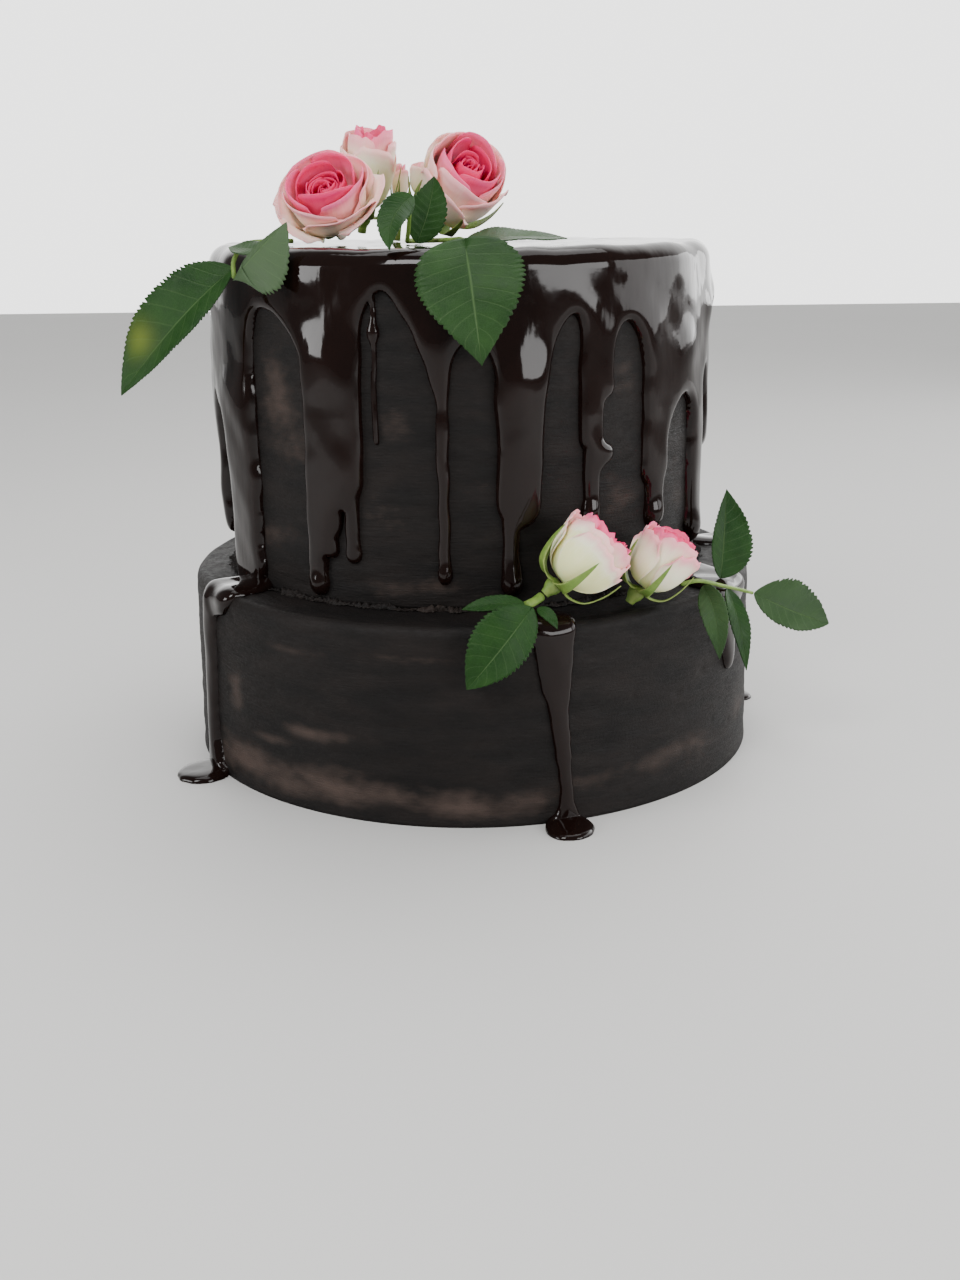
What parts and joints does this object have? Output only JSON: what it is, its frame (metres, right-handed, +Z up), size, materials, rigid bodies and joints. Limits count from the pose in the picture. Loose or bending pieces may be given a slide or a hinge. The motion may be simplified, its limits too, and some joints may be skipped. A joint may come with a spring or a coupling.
{
  "type": "two-tier chocolate drip cake",
  "caption": "Tiered round chocolate cake with dark matte icing, a glossy poured glaze running into drips, and pink garden roses with leaves.",
  "frame": {"origin": "centre of the lower tier's base, on the plane that the cake rests on", "axes": "+Z up along the lower tier's axis; -Y towards the front, the side with the large front leaf; +X to the right seen from the front"},
  "size_m": [0.2919, 0.2671, 0.266],
  "materials": {
    "icing": "matte dark chocolate icing, smoothed by hand, with faint lighter brown smears",
    "glaze": "very glossy dark chocolate glaze",
    "petals": "soft satin petals, pink in the middle and cream to the outside",
    "leaves": "dark green leaves with a soft sheen",
    "stems": "light green sepals and stalks"
  },
  "bodies": {
    "root": {"lower_tier": "icing", "upper_tier": "icing", "glaze": "glaze", "glaze_run_left": "glaze", "glaze_run_middle": "glaze", "glaze_run_right": "glaze", "glaze_run_back": "glaze", "rose_top_left": "petals", "rose_top_back": "petals", "rose_top_right": "petals", "rose_ledge_left": "petals", "rose_ledge_right": "petals", "bud_top_back": "petals", "bud_top_middle": "petals", "calyx_top_left": "stems", "calyx_top_back": "stems", "calyx_top_right": "stems", "calyx_ledge_left": "stems", "calyx_ledge_right": "stems", "calyx_bud_top_back": "stems", "calyx_bud_top_middle": "stems", "stalk_top_left": "stems", "stalk_top_middle": "stems", "stalk_top_fork": "stems", "stalk_ledge": "stems", "stem_ledge_left": "stems", "leaf_left_large": "leaves", "leaf_left_upper": "leaves", "leaf_left_back": "leaves", "leaf_middle_up": "leaves", "leaf_middle_down": "leaves", "leaf_front": "leaves", "leaf_right": "leaves", "leaf_ledge_small": "leaves", "leaf_ledge_large": "leaves", "leaf_ledge_inner": "leaves", "leaf_spray_up": "leaves", "leaf_spray_out": "leaves", "leaf_spray_front": "leaves", "leaf_spray_side": "leaves"}
  },
  "joints": []
}
